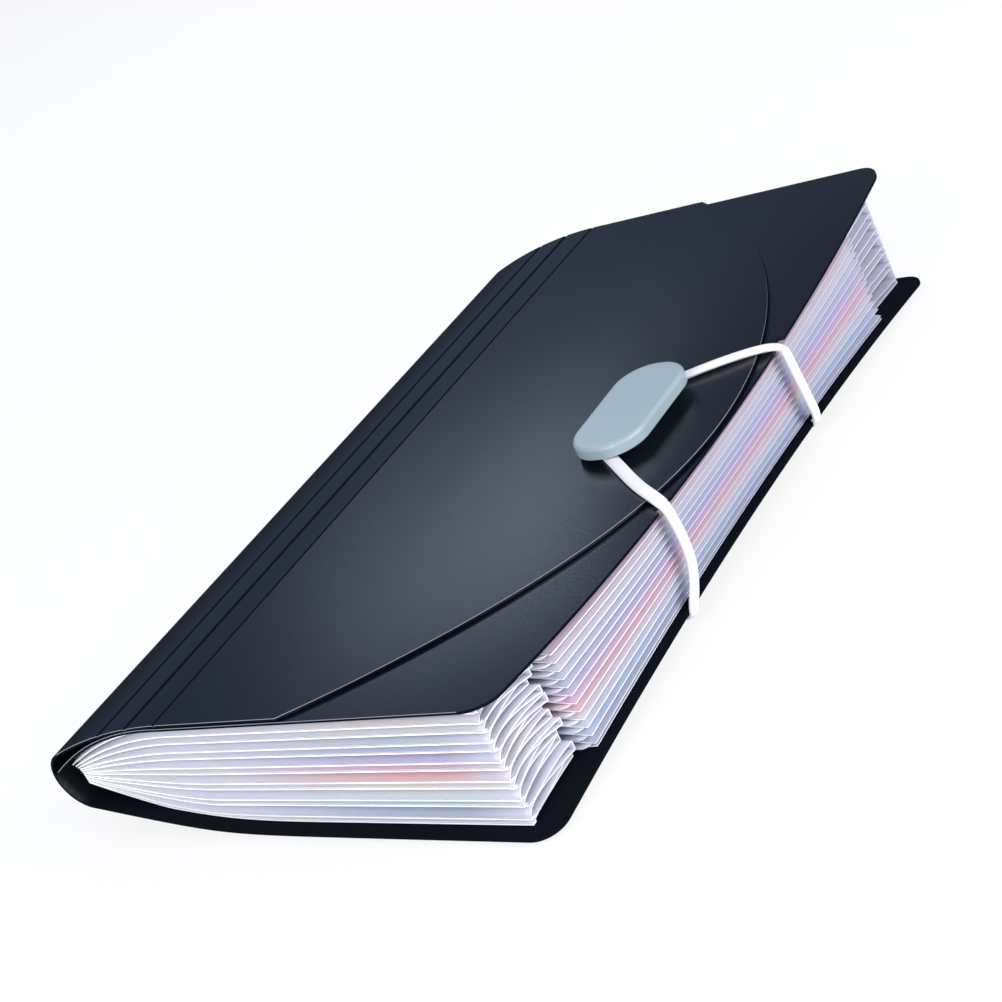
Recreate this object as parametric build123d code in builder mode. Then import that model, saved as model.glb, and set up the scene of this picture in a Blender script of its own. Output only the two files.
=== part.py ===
from build123d import *
from math import asin, atan2, cos, hypot, pi, sin, tan
import os

# Expanding file with an accordion of film pockets in a wrapped plastic cover.
# Millimetres. The spine runs along Y, the pockets open towards +X, +Z is up.
# The origin is under the middle of the closed file, on the surface it lies on.

# Cover sheet
cover_length = 180.0
cover_width = 114.0
cover_sheet = 0.6
cover_corner = 5.5
crease_height = 26.3
crease_from_nose = 36.5
crease_gap = 0.3
rest_strip = 13.5
rear_arch = 4.0

# Spine seen from its end: a round nose between two slopes
nose_radius = 7.0
nose_height = 13.0
strip_width = 10.0
strip_drop = 1.7
score_depth = 0.25
score_width = 0.8
score_spacing = 4.6
score_margin = 0.9
seam = 0.05

# Front panel under the flap, bowed down in the middle by the elastic
panel_sheet = 0.6
panel_gap = 0.3
panel_recess = 0.5
corner_height = 28.3
pinch_height = 21.8
notch_width = 4.2
notch_depth = 1.2

# Flap, whose free edge is one wide arc
flap_recess = 0.8
flap_arc_rise = 45.8
flap_corner = 2.0

# Accordion of pockets
pocket_count = 13
film = 0.25
film_seat = 0.2
leaf_margin = 3.0
leaf_recess = 2.0
leaf_spine_start = 5.2
leaf_spine_stagger = 2.4
leaf_spine_lift = 2.0
leaf_spine_drop = 4.6
tab_reach = 7.0
tab_inset = 14.0
tab_corner = 2.5

# Pleats that close the pockets at both ends
gusset_film = 0.12
gusset_extra_slope = 0.005
gusset_inset = 0.3
gusset_clearance = 0.04
gusset_spine_from_nose = 9.5
gusset_reach = 2.0

# Tinted index cards, one in each pocket
card = 0.25
card_clearance = 0.15
card_margin = 3.0
card_width = 28.0
card_recess = 1.0
card_corner = 2.0

# Closing button on the flap
button_inset = 18.7
button_length = 30.4
button_width = 15.8
button_end_flat = 1.0
button_thickness = 2.5
button_edge = 0.9
post_length = 15.0
post_width = 6.0
post_room = 0.6
post_clearance = 0.05

# Elastic cord, riveted under the rear cover
cord_diameter = 2.0
cord_clearance = 0.2
strand_offset = 27.0
strand_split = 4.0
strand_bend = 1.7
strand_lift = 0.95
rivet_from_edge = 7.5
rivet_radius = 1.1
rivet_head_radius = 2.5
rivet_head = 0.4
rivet_clearance = 0.05

# Sizes that follow from the driving dimensions
half_length = cover_length / 2
cord_radius = cord_diameter / 2
cord_reach = cord_diameter + 2 * cord_clearance
nose_x = -(cover_width + cord_reach) / 2
rear_edge = nose_x + cover_width
panel_edge = rear_edge - panel_recess
crease_x = nose_x + crease_from_nose
rest_end = crease_x + rest_strip
leaf_edge = rear_edge - leaf_recess
leaf_half_length = half_length - leaf_margin
shoulder = leaf_edge - tab_reach
tab_half_length = leaf_half_length - tab_inset
card_half_length = tab_half_length - card_margin
leaf_spine_low = nose_height - nose_radius + leaf_spine_lift
leaf_spine_high = nose_height + nose_radius - leaf_spine_drop
flap_apex = rear_edge - flap_recess
flap_side = flap_apex - flap_arc_rise
button_x = flap_apex - button_inset
post_height = cord_diameter + post_room
panel_crease = crease_height - cover_sheet - panel_gap - panel_sheet
panel_corner = corner_height - panel_sheet
panel_pinch = pinch_height - panel_sheet
leaf_low = cover_sheet + film_seat
stack_top = corner_height + post_height + button_thickness + cover_sheet


def mix(low, high, share):
    """Value at a share of the way from low to high."""
    return low + (high - low) * share


def bow(middle, end, y):
    """Height of a bowed edge at y, from its middle and its height at the cover's ends."""
    return mix(middle, end, (y / half_length) ** 2)


def leaf_crease(share):
    """Underside of a sheet of the stack where the spine slope ends."""
    return mix(leaf_low, panel_crease, share)


def leaf_middle(share):
    """Underside of a sheet of the stack at the middle of the opening edge."""
    return mix(leaf_low + rear_arch, panel_pinch, share)


def leaf_end(share):
    """Underside of a sheet of the stack at the ends of the opening edge."""
    return mix(leaf_low, panel_corner, share)


def leaf_spine(share):
    """Place of a sheet's spine edge: distance along X and height of its underside."""
    x = nose_x + leaf_spine_start + leaf_spine_stagger * (1 - share)
    return x, mix(leaf_spine_low, leaf_spine_high, share)


def stack_height(share, x, y):
    """Underside of a sheet of the stack at any point of its plan."""
    spine_x, spine_z = leaf_spine(share)
    if x < crease_x:
        return mix(spine_z, leaf_crease(share), (x - spine_x) / (crease_x - spine_x))
    edge_z = bow(leaf_middle(share), leaf_end(share), y)
    return mix(leaf_crease(share), edge_z, (x - crease_x) / (panel_edge - crease_x))


def sheet_section(x, half, middle, end, thickness):
    """Cross-section of a bowed sheet at one X, where end is its height at the cover's ends."""
    side = bow(middle, end, half)
    with BuildSketch(Plane.YZ.offset(x)) as section:
        with BuildLine():
            Bezier((-half, side), (0, 2 * middle - side), (half, side))
            Line((half, side), (half, side + thickness))
            Bezier((half, side + thickness), (0, 2 * middle - side + thickness), (-half, side + thickness))
            Line((-half, side + thickness), (-half, side))
        make_face()
    return section.sketch


def flat_section(x, half, height, thickness):
    """Cross-section of a straight sheet at one X."""
    with BuildSketch(Plane.YZ.offset(x)) as section:
        with BuildLine():
            Line((-half, height), (half, height))
            Line((half, height), (half, height + thickness))
            Line((half, height + thickness), (-half, height + thickness))
            Line((-half, height + thickness), (-half, height))
        make_face()
    return section.sketch


def plan(start, end, half, corner):
    """Rectangle in plan, below the file, whose two corners at its +X end are round."""
    with BuildSketch(Plane.XY.offset(-stack_top)) as outline:
        with Locations(((start + end) / 2, 0)):
            Rectangle(end - start, 2 * half)
        fillet(outline.vertices().group_by(Axis.X)[-1], corner)
    return outline.sketch


def corner_offcuts(edge, half, corner):
    """What rounding takes off the two corners of a sheet at its +X edge, in plan below the file."""
    with BuildSketch(Plane.XY.offset(-stack_top)) as offcuts:
        with Locations([(edge, side * half) for side in (-1, 1)]):
            Rectangle(2 * corner, 2 * corner)
        with Locations([(edge - corner, side * (half - corner)) for side in (-1, 1)]):
            Circle(corner, mode=Mode.SUBTRACT)
    return offcuts.sketch


def tangent_foot(x, z, upper):
    """Point where a line from x, z touches the round nose, above or below it."""
    centre_x = nose_x + nose_radius
    reach = hypot(x - centre_x, z - nose_height)
    lean = asin(nose_radius / reach)
    bearing = atan2(nose_height - z, centre_x - x) + (-lean if upper else lean)
    run = reach * cos(lean)
    return x + run * cos(bearing), z + run * sin(bearing)


def save(piece, name):
    """Label a finished piece and write it to its file."""
    piece.label = name
    export_step(piece, f"parts/{name}.step")


os.makedirs("parts", exist_ok=True)

# Rear cover: spine slope, flat strip that the file lies on, and arched panel
slope_x, slope_z = tangent_foot(crease_x, 0, upper=False)
slope_angle = atan2(slope_z, crease_x - slope_x)
slope_in_x = slope_x + cover_sheet * sin(slope_angle)
slope_in_z = slope_z + cover_sheet * cos(slope_angle)
strand_y = (-strand_offset, strand_offset)
rivet_x = rear_edge - rivet_from_edge
with BuildPart() as rear_cover:
    with BuildSketch(Plane.XZ):
        with BuildLine():
            Polyline(
                (slope_x, slope_z),
                (crease_x, 0),
                (rest_end, 0),
                (rest_end, cover_sheet),
                (crease_x + cover_sheet * tan(slope_angle / 2), cover_sheet),
                (slope_in_x, slope_in_z),
                close=True,
            )
        make_face()
    extrude(amount=half_length, both=True)
    loft(
        [
            flat_section(rest_end, half_length, 0, cover_sheet),
            sheet_section(rear_edge, half_length, rear_arch, 0, cover_sheet),
        ],
        ruled=True,
    )
    extrude(corner_offcuts(rear_edge, half_length, cover_corner), 2 * stack_top, mode=Mode.SUBTRACT)
    with BuildSketch(Plane.XY.offset(-stack_top)):
        with Locations([(rivet_x, y) for y in strand_y]):
            Circle(rivet_radius + rivet_clearance)
    extrude(amount=2 * stack_top, mode=Mode.SUBTRACT)
save(rear_cover.part, "rear_cover")

# Round nose of the spine, which bends as the file fans open
strip_x = crease_x - strip_width
strip_z = crease_height - strip_drop
top_x, top_z = tangent_foot(strip_x, strip_z, upper=True)
top_angle = atan2(strip_z - top_z, strip_x - top_x)
nose_centre_x = nose_x + nose_radius
nose_inner = nose_radius - cover_sheet
seam_turn = seam / nose_radius
start_turn = -slope_angle - seam_turn
end_turn = top_angle + seam_turn


def nose_point(radius, turn, upper):
    """Point on the nose at a radius, turned from straight up or straight down towards -X."""
    rise = radius * cos(turn)
    return nose_centre_x - radius * sin(abs(turn)), nose_height + (rise if upper else -rise)


with BuildPart() as spine_nose:
    with BuildSketch(Plane.XZ):
        with BuildLine():
            RadiusArc(
                nose_point(nose_radius, start_turn, False),
                nose_point(nose_radius, end_turn, True),
                nose_radius,
            )
            Line(nose_point(nose_radius, end_turn, True), nose_point(nose_inner, end_turn, True))
            RadiusArc(
                nose_point(nose_inner, end_turn, True),
                nose_point(nose_inner, start_turn, False),
                -nose_inner,
            )
            Line(nose_point(nose_inner, start_turn, False), nose_point(nose_radius, start_turn, False))
        make_face()
    extrude(amount=half_length, both=True)
save(spine_nose.part, "spine_nose")

# Slope of the spine above the pockets
top_in_x = top_x + cover_sheet * sin(top_angle)
top_in_z = top_z - cover_sheet * cos(top_angle)
strip_angle = atan2(strip_drop, strip_width)
with BuildPart() as spine_top:
    with BuildSketch(Plane.XZ):
        with BuildLine():
            Polyline(
                (top_x, top_z),
                (strip_x - seam, strip_z - seam * tan(top_angle)),
                (strip_x - seam, strip_z - seam * tan(top_angle) - cover_sheet / cos(top_angle)),
                (top_in_x, top_in_z),
                close=True,
            )
        make_face()
    extrude(amount=half_length, both=True)
save(spine_top.part, "spine_top")

# Narrow scored strip that lets the flap fold back
strip_end = crease_x - crease_gap / 2
strip_end_z = crease_height - crease_gap / 2 * tan(strip_angle)
strip_sheet = cover_sheet / cos(strip_angle)
score_starts = [strip_x + score_margin + score_spacing * turn for turn in range(2)]
with BuildPart() as hinge_strip:
    with BuildSketch(Plane.XZ):
        with BuildLine():
            Polyline(
                (strip_x, strip_z),
                (strip_end, strip_end_z),
                (strip_end, strip_end_z - strip_sheet),
                (strip_x, strip_z - strip_sheet),
                close=True,
            )
        make_face()
        for x in score_starts:
            rise = tan(strip_angle)
            with BuildLine():
                Polyline(
                    (x, strip_z + (x - strip_x) * rise),
                    (x + score_width, strip_z + (x + score_width - strip_x) * rise),
                    (x + score_width / 2, strip_z + (x + score_width / 2 - strip_x) * rise - score_depth),
                    close=True,
                )
            make_face(mode=Mode.SUBTRACT)
    extrude(amount=half_length, both=True)
save(hinge_strip.part, "hinge_strip")

# Flap over the front panel, with a slot for the button's post
flap_start = crease_x + crease_gap / 2
with BuildPart() as cover_flap:
    loft(
        [
            flat_section(crease_x, half_length, crease_height - cover_sheet, cover_sheet),
            sheet_section(
                panel_edge,
                half_length,
                pinch_height + panel_gap,
                corner_height + panel_gap,
                cover_sheet,
            ),
        ],
        ruled=True,
    )
    with BuildSketch() as flap_outline:
        with BuildLine():
            Line((flap_start, -half_length), (flap_side, -half_length))
            ThreePointArc((flap_side, -half_length), (flap_apex, 0), (flap_side, half_length))
            Line((flap_side, half_length), (flap_start, half_length))
            Line((flap_start, half_length), (flap_start, -half_length))
        make_face()
        fillet(flap_outline.vertices().group_by(Axis.X)[-1], flap_corner)
    extrude(amount=stack_top, mode=Mode.INTERSECT)
    with BuildSketch():
        with Locations((button_x, 0)):
            SlotOverall(post_length + 2 * post_clearance, post_width + 2 * post_clearance, rotation=90)
    extrude(amount=stack_top, mode=Mode.SUBTRACT)
save(cover_flap.part, "cover_flap")

# Closing button: a post through the flap and a wide cap on it
flap_top = stack_height(1, button_x, 0) + panel_sheet + panel_gap + cover_sheet
flap_slope = (panel_crease - panel_pinch) / (panel_edge - crease_x)
post_foot = flap_top - cover_sheet + flap_slope * post_width / 2
cap_bottom = flap_top + post_height
with BuildPart() as button_post:
    with BuildSketch(Plane.XY.offset(post_foot)):
        with Locations((button_x, 0)):
            SlotOverall(post_length, post_width, rotation=90)
    extrude(amount=cap_bottom - post_foot)
save(button_post.part, "button_post")

with BuildPart() as button_cap:
    with BuildSketch(Plane.XY.offset(cap_bottom)):
        with Locations((button_x, 0)):
            RectangleRounded(button_width, button_length, (button_width - button_end_flat) / 2)
    extrude(amount=button_thickness)
    fillet(button_cap.faces().sort_by(Axis.Z)[-1].edges(), button_edge)
save(button_cap.part, "button_cap")


def stack_sheet(name, share, lift, thickness, half, outline):
    """Sheet that follows the stack at a share of its height, cut to its outline in plan.

    lift is its height above the stack's own surface at that share.
    """
    spine_x, spine_z = leaf_spine(share)
    crease_z = leaf_crease(share) + lift
    with BuildPart() as sheet:
        with BuildSketch(Plane.XZ):
            with BuildLine():
                Polyline(
                    (spine_x, spine_z + lift),
                    (crease_x, crease_z),
                    (crease_x, crease_z + thickness),
                    (spine_x, spine_z + lift + thickness),
                    close=True,
                )
            make_face()
        extrude(amount=half, both=True)
        loft(
            [
                flat_section(crease_x, half, crease_z, thickness),
                sheet_section(panel_edge, half, leaf_middle(share) + lift, leaf_end(share) + lift, thickness),
            ],
            ruled=True,
        )
        extrude(outline, 2 * stack_top, mode=Mode.INTERSECT)
    save(sheet.part, name)


# Stiff front panel with a notch for each strand of the elastic
with BuildSketch(Plane.XY.offset(-stack_top)) as panel_outline:
    add(plan(nose_x, panel_edge, half_length, cover_corner))
    with Locations([(panel_edge, y) for y in strand_y]):
        Rectangle(2 * notch_depth, notch_width, mode=Mode.SUBTRACT)
stack_sheet("front_panel", 1, 0, panel_sheet, half_length, panel_outline.sketch)

# Film leaves: the one on the rear cover, then the dividers, each with a tab past the pleats
with BuildSketch(Plane.XY.offset(-stack_top)) as leaf_outline:
    add(plan(nose_x, leaf_edge, tab_half_length, tab_corner))
    with Locations(((nose_x + shoulder) / 2, 0)):
        Rectangle(shoulder - nose_x, 2 * leaf_half_length)
leaf_names = ["rear_leaf"] + [f"divider_{number:02d}" for number in range(1, pocket_count)]
for number, leaf_name in enumerate(leaf_names):
    stack_sheet(leaf_name, number / pocket_count, 0, film, leaf_half_length, leaf_outline.sketch)

# Index cards, each lying on the lower leaf of its pocket
card_end = leaf_edge - card_recess
with BuildSketch(Plane.XY.offset(-stack_top)) as card_outline:
    with Locations((card_end - card_width / 2, 0)):
        RectangleRounded(card_width, 2 * card_half_length, card_corner)
for number in range(pocket_count):
    stack_sheet(
        f"index_card_{number + 1:02d}",
        number / pocket_count,
        film + card_clearance,
        card,
        card_half_length,
        card_outline.sketch,
    )

# Pleats at both ends of each pocket, folded inwards between two leaves
pleat_outer = leaf_half_length - gusset_inset


bow_slope = 2 * max(rear_arch, corner_height - pinch_height) / half_length
pleat_lean = 1 / (bow_slope + gusset_extra_slope)


def pleat_section(x, lower, upper):
    """V-shaped section of the pleat at the -Y end, between the leaves at two shares of the stack.

    Its sides are flat and a little steeper than the bowed leaves.
    """
    low = stack_height(lower, x, pleat_outer) + film + gusset_clearance
    high = stack_height(upper, x, pleat_outer) - gusset_clearance
    fold = (low + high) / 2
    fold_y = pleat_lean * (fold - low) - pleat_outer
    with BuildSketch(Plane.YZ.offset(x)) as section:
        with BuildLine():
            Polyline(
                (-pleat_outer, low),
                (fold_y, fold),
                (-pleat_outer, high),
                (-pleat_outer, high - gusset_film),
                (fold_y - pleat_lean * gusset_film, fold),
                (-pleat_outer, low + gusset_film),
                close=True,
            )
        make_face()
    return section.sketch


pleat_stations = (nose_x + gusset_spine_from_nose, crease_x, shoulder + gusset_reach)
for number in range(pocket_count):
    below = number / pocket_count
    above = (number + 1) / pocket_count
    with BuildPart() as gusset:
        loft([pleat_section(x, below, above) for x in pleat_stations], ruled=True)
        mirror(about=Plane.XZ)
    save(gusset.part, f"gusset_{number + 1:02d}")

# Elastic: two strands up the opening and a loop over the flap and round the post
cord_y = strand_offset
edge_top = stack_height(1, panel_edge, cord_y) + panel_sheet
rear_under = bow(rear_arch, 0, cord_y)
foot_x = rear_edge + cord_clearance * 2 + cord_radius
foot_z = rear_under - cord_clearance - cord_radius
head_x = panel_edge - notch_depth + cord_clearance + cord_radius
head_z = edge_top + cord_radius + strand_lift
split_z = edge_top - strand_split
split_x = mix(foot_x, head_x, (split_z - foot_z) / (head_z - foot_z))
post_turn = post_width / 2 + cord_clearance + cord_radius
post_end = post_length / 2 - post_width / 2
run_x = head_x - button_x
run_y = cord_y - post_end
run_bearing = atan2(run_y, run_x) - asin(post_turn / hypot(run_x, run_y))
turn_x = button_x - post_turn
turn_y = cord_y - (head_x - turn_x) * tan(run_bearing)
turn_z = cap_bottom - cord_clearance - cord_radius
turn_bend = post_turn
rivet_under = rear_under * (rivet_x - rest_end) / (rear_edge - rest_end)
tail_x = rivet_x + rivet_radius + cord_clearance
tail_z = rivet_under - cord_clearance - cord_radius

with BuildPart() as elastic_strands:
    with BuildLine() as strand_route:
        FilletPolyline(
            (tail_x, -cord_y, tail_z),
            (foot_x, -cord_y, foot_z),
            (split_x, -cord_y, split_z),
            radius=strand_bend,
        )
    with BuildSketch(Plane(strand_route.line @ 0, z_dir=strand_route.line % 0)):
        Circle(cord_radius)
    sweep()
    mirror(about=Plane.XZ)
save(elastic_strands.part, "elastic_strands")

with BuildPart() as elastic_loop:
    with BuildLine() as loop_route:
        FilletPolyline(
            (split_x, -cord_y, split_z),
            (head_x, -cord_y, head_z),
            (turn_x, -turn_y, turn_z),
            (turn_x, turn_y, turn_z),
            (head_x, cord_y, head_z),
            (split_x, cord_y, split_z),
            radius=[strand_bend, turn_bend, turn_bend, strand_bend],
        )
    with BuildSketch(Plane(loop_route.line @ 0, z_dir=loop_route.line % 0)):
        Circle(cord_radius)
    sweep()
save(elastic_loop.part, "elastic_loop")

# Rivets that hold the elastic's ends under the rear cover
head_top = tail_z - cord_radius - cord_clearance
shank_top = rivet_under + cover_sheet
with BuildPart() as elastic_rivets:
    with Locations([(rivet_x, y, head_top - rivet_head) for y in strand_y]):
        Cylinder(rivet_head_radius, rivet_head, align=(Align.CENTER, Align.CENTER, Align.MIN))
        Cylinder(
            rivet_radius,
            shank_top - head_top + rivet_head,
            align=(Align.CENTER, Align.CENTER, Align.MIN),
        )
save(elastic_rivets.part, "elastic_rivets")

# Lengths and volumes that show whether the elastic came out whole
for label, route, piece, count in (
    ("strand", strand_route.wires()[0], elastic_strands.part, 2),
    ("loop", loop_route.wires()[0], elastic_loop.part, 1),
):
    ratio = piece.volume / (pi * cord_radius**2 * route.length * count)
    print(f"elastic {label}: {route.length:.1f} mm long, volume ratio {ratio:.4f}")
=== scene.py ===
"""Looks of a small expanding file: black sheet cover, frosted film pockets, button and elastic."""

import logging
from dataclasses import dataclass, field
from enum import Enum
from typing import Any

import bpy
import numpy as np
from mathutils import Matrix, Vector


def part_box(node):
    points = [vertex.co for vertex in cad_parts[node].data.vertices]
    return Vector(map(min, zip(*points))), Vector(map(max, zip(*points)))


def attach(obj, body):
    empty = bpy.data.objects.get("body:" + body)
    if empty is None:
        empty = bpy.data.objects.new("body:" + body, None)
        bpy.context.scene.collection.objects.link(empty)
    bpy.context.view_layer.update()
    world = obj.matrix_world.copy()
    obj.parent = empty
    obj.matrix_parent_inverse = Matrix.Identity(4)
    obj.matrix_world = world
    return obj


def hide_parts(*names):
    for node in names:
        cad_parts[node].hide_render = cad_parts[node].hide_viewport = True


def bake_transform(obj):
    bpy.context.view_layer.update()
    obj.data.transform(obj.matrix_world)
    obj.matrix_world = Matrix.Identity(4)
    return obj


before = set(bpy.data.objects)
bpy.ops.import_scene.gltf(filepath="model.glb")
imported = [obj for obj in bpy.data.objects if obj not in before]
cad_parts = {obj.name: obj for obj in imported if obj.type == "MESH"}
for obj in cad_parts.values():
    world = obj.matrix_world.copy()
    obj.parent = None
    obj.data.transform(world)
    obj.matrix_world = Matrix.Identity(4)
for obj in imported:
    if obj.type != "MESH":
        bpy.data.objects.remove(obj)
log = logging.getLogger("expanding_file")

MM = 0.001
POLYPROPYLENE_IOR = 1.49
SMOOTH_ANGLE = 40.0
MARK_STEP = 0.15
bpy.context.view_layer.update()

Number = float | np.ndarray
Material = bpy.types.Material
Node = bpy.types.Node
Piece = bpy.types.Object
Tree = bpy.types.NodeTree


class Side(Enum):
    """The two ends of the file along its spine."""

    NEAR = -1
    FAR = 1


def mix(low: Number, high: Number, share: Number) -> Number:
    """Value at a share of the way from low to high."""
    return low + (high - low) * share


def ease(share: np.ndarray) -> np.ndarray:
    """Share that starts and ends gently: 3 t squared less 2 t cubed, held to 0 and 1 outside."""
    held = np.clip(share, 0, 1)
    return held * held * (3 - 2 * held)


def linear(code: str) -> tuple[float, float, float, float]:
    """Turn an sRGB hex colour into the linear colour that shaders take.

    Args:
        code: colour such as "#1E252D".

    Returns:
        Red, green, blue and an alpha of 1.
    """
    part = np.array([int(code[i : i + 2], 16) for i in (1, 3, 5)]) / 255
    level = np.where(part <= 0.04045, part / 12.92, ((part + 0.055) / 1.055) ** 2.4)
    return (*level.tolist(), 1.0)


def node_span(node: str, axis: int) -> tuple[float, float]:
    """Lowest and highest place of a CAD node along one axis, in millimetres."""
    low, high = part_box(node)
    return low[axis] / MM, high[axis] / MM


@dataclass(frozen=True)
class FileSizes:
    """Sizes of the closed file in millimetres, from its solids and its sheet thicknesses."""

    nose_x: float
    rear_edge: float
    panel_edge: float
    leaf_edge: float
    flap_apex: float
    crease_x: float
    half_length: float
    leaf_half: float
    corner_height: float
    pinch_height: float = 21.8
    crease_height: float = 26.3
    sheet: float = 0.6
    panel_gap: float = 0.3
    corner: float = 5.5
    rest_strip: float = 13.5
    rear_arch: float = 4.0
    rear_soft: float = 6.0
    nose_radius: float = 7.0
    nose_height: float = 13.0
    strip_width: float = 10.0
    strip_drop: float = 1.7
    flap_arc_rise: float = 45.8
    tab_reach: float = 3.8
    tab_half: float = 69.0
    film_seat: float = 0.2
    strand_y: float = 27.0
    root_rear: tuple[float, float] = (4.5, 9.8)
    root_front: tuple[float, float] = (2.0, 14.6)
    leave_power: tuple[float, float] = (1.35, 2.1)
    droop_power: tuple[float, float] = (1.0, 2.4)
    pockets: int = 13

    @classmethod
    def from_frame(cls) -> "FileSizes":
        """Read the outer sizes from the boxes of the solids.

        Returns:
            The sizes in millimetres.
        """
        return cls(
            nose_x=node_span("spine_nose", 0)[0],
            rear_edge=node_span("rear_cover", 0)[1],
            panel_edge=node_span("front_panel", 0)[1],
            leaf_edge=node_span("rear_leaf", 0)[1],
            flap_apex=node_span("cover_flap", 0)[1],
            crease_x=mix(node_span("hinge_strip", 0)[1], node_span("cover_flap", 0)[0], 0.5),
            half_length=node_span("rear_cover", 1)[1],
            leaf_half=node_span("rear_leaf", 1)[1],
            corner_height=node_span("front_panel", 2)[1],
        )

    @property
    def rest_end(self) -> float:
        """Where the flat strip that the file lies on ends."""
        return self.crease_x + self.rest_strip

    @property
    def shoulder(self) -> float:
        """Where a leaf narrows to its tab."""
        return self.leaf_edge - self.tab_reach

    @property
    def flap_side(self) -> float:
        """Where the flap's arc meets its straight ends."""
        return self.flap_apex - self.flap_arc_rise

    def bow(self, middle: Number, end: Number, y: np.ndarray) -> np.ndarray:
        """Height of a bowed edge at y, from its middle and its height at the cover's ends."""
        return mix(middle, end, (y / self.half_length) ** 2)

    def rear_inner(self, x: np.ndarray, y: np.ndarray) -> np.ndarray:
        """Inner face of the rear cover: a slope from the nose, a flat strip, then an arch.

        The slope runs out softly, as the logarithm of 1 plus an exponential of the place.

        Args:
            x: places from spine to opening.
            y: places along the spine.

        Returns:
            Heights above the surface that the file lies on.
        """
        slope = self.rear_soft * np.logaddexp(0, (self.crease_x - x) / self.rear_soft) * self.rear_slope
        rise = np.clip(x - self.rest_end, 0, None) / (self.rear_edge - self.rest_end)
        return slope + self.bow(self.rear_arch, 0, y) * rise + self.sheet

    @property
    def rear_slope(self) -> float:
        """Steepness of the rear cover between the nose and the flat strip."""
        reach_x = self.crease_x - self.nose_x - self.nose_radius
        reach = np.hypot(reach_x, self.nose_height)
        return float(np.tan(np.arctan2(self.nose_height, reach_x) - np.arcsin(self.nose_radius / reach)))

    def spine_point(self, share: float) -> tuple[float, float]:
        """Where a sheet of the stack starts in the spine, along X and in height.

        Only the topmost sheets start nearer to the nose, by the sixth power of their share. The others
        start in front of the axis that they fan about, so that their ends don't cross.

        Args:
            share: 0 for the sheet on the rear cover, 1 for the front panel.

        Returns:
            Place along X and height.
        """
        x = self.nose_x + mix(self.root_rear[0], self.root_front[0], share**6)
        return x, mix(self.root_rear[1], self.root_front[1], share)

    def stack(self, share: float, x: np.ndarray, y: np.ndarray) -> np.ndarray:
        """Underside of a sheet of the stack at a share of its height.

        From the spine the sheet leaves its neighbours quickly and levels out at the crease, as
        1 - (1 - t) to a power that grows from the rear cover to the front panel. From there it
        runs straight at the ends, and in the middle it bends down as t to a power of 1 to 2.4.

        Args:
            share: 0 for the sheet on the rear cover, 1 for the front panel.
            x: places from spine to opening.
            y: places along the spine.

        Returns:
            Heights above the surface that the file lies on.
        """
        low = self.sheet + self.film_seat
        top = self.crease_height - 2 * self.sheet - self.panel_gap
        spine_x, spine_z = self.spine_point(share)
        crease_z = mix(low, top, share)
        leave = np.clip((x - spine_x) / (self.crease_x - spine_x), 0, 1)
        inner = mix(spine_z, crease_z, 1 - (1 - leave) ** mix(*self.leave_power, share))
        middle = mix(low + self.rear_arch, self.pinch_height - self.sheet, share)
        end = mix(low, self.corner_height - self.sheet, share)
        along = np.clip((x - self.crease_x) / (self.panel_edge - self.crease_x), 0, None)
        droop = (middle - crease_z) * along ** mix(*self.droop_power, share**2)
        outer = crease_z + self.bow(droop, (end - crease_z) * along, y)
        height = np.where(x < self.crease_x, inner, outer)
        return np.maximum(height, self.rear_inner(x, y) + self.film_seat * (1 + share))


def add_node(tree: Tree, kind: str, inputs: dict[Any, Any] | None = None, **settings: Any) -> Node:
    """Add a shader node, set its options, and fill or link its inputs.

    Args:
        tree: node tree that takes the node.
        kind: Blender's name for the kind of node.
        inputs: values or output sockets by input name or number.
        settings: options of the node.

    Returns:
        The new node.
    """
    node = tree.nodes.new(kind)
    for key, value in settings.items():
        setattr(node, key, value)
    for key, value in (inputs or {}).items():
        if isinstance(value, bpy.types.NodeSocket):
            tree.links.new(value, node.inputs[key])
        else:
            node.inputs[key].default_value = value
    return node


def new_material(name: str) -> tuple[Material, Tree, Node]:
    """Start an empty node material.

    Args:
        name: real material and how it is made.

    Returns:
        The material, its node tree and its output node.
    """
    material = bpy.data.materials.new(name)
    material.use_nodes = True
    material.node_tree.nodes.clear()
    return material, material.node_tree, add_node(material.node_tree, "ShaderNodeOutputMaterial")


@dataclass(frozen=True)
class CoverPlastic:
    """Calendered polypropylene sheet with a fine sand grain, seen as a blue-grey sheen on black."""

    name: str
    colour: str = "#0A0F17"
    roughness: float = 0.24
    specular: float = 0.5
    grain_mm: float = 0.45
    grain_depth: float = 0.03
    grain_strength: float = 0.6

    def material(self) -> Material:
        """Build the sheet's shader.

        Returns:
            The material.
        """
        material, tree, output = new_material(self.name)
        place = add_node(tree, "ShaderNodeTexCoord").outputs["Object"]
        # The real grain is about 0.15 mm, finer than a pixel, so it is drawn coarser
        grain = add_node(
            tree,
            "ShaderNodeTexNoise",
            {"Vector": place, "Scale": 1 / (self.grain_mm * MM), "Detail": 2.0},
        )
        bump = add_node(
            tree,
            "ShaderNodeBump",
            {
                "Height": grain.outputs["Fac"],
                "Distance": self.grain_depth * MM,
                "Strength": self.grain_strength,
            },
        )
        shader = add_node(
            tree,
            "ShaderNodeBsdfPrincipled",
            {
                "Base Color": linear(self.colour),
                "Roughness": self.roughness,
                "IOR": POLYPROPYLENE_IOR,
                "Specular IOR Level": self.specular,
                "Normal": bump.outputs["Normal"],
            },
        )
        tree.links.new(shader.outputs["BSDF"], output.inputs["Surface"])
        return material


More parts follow.
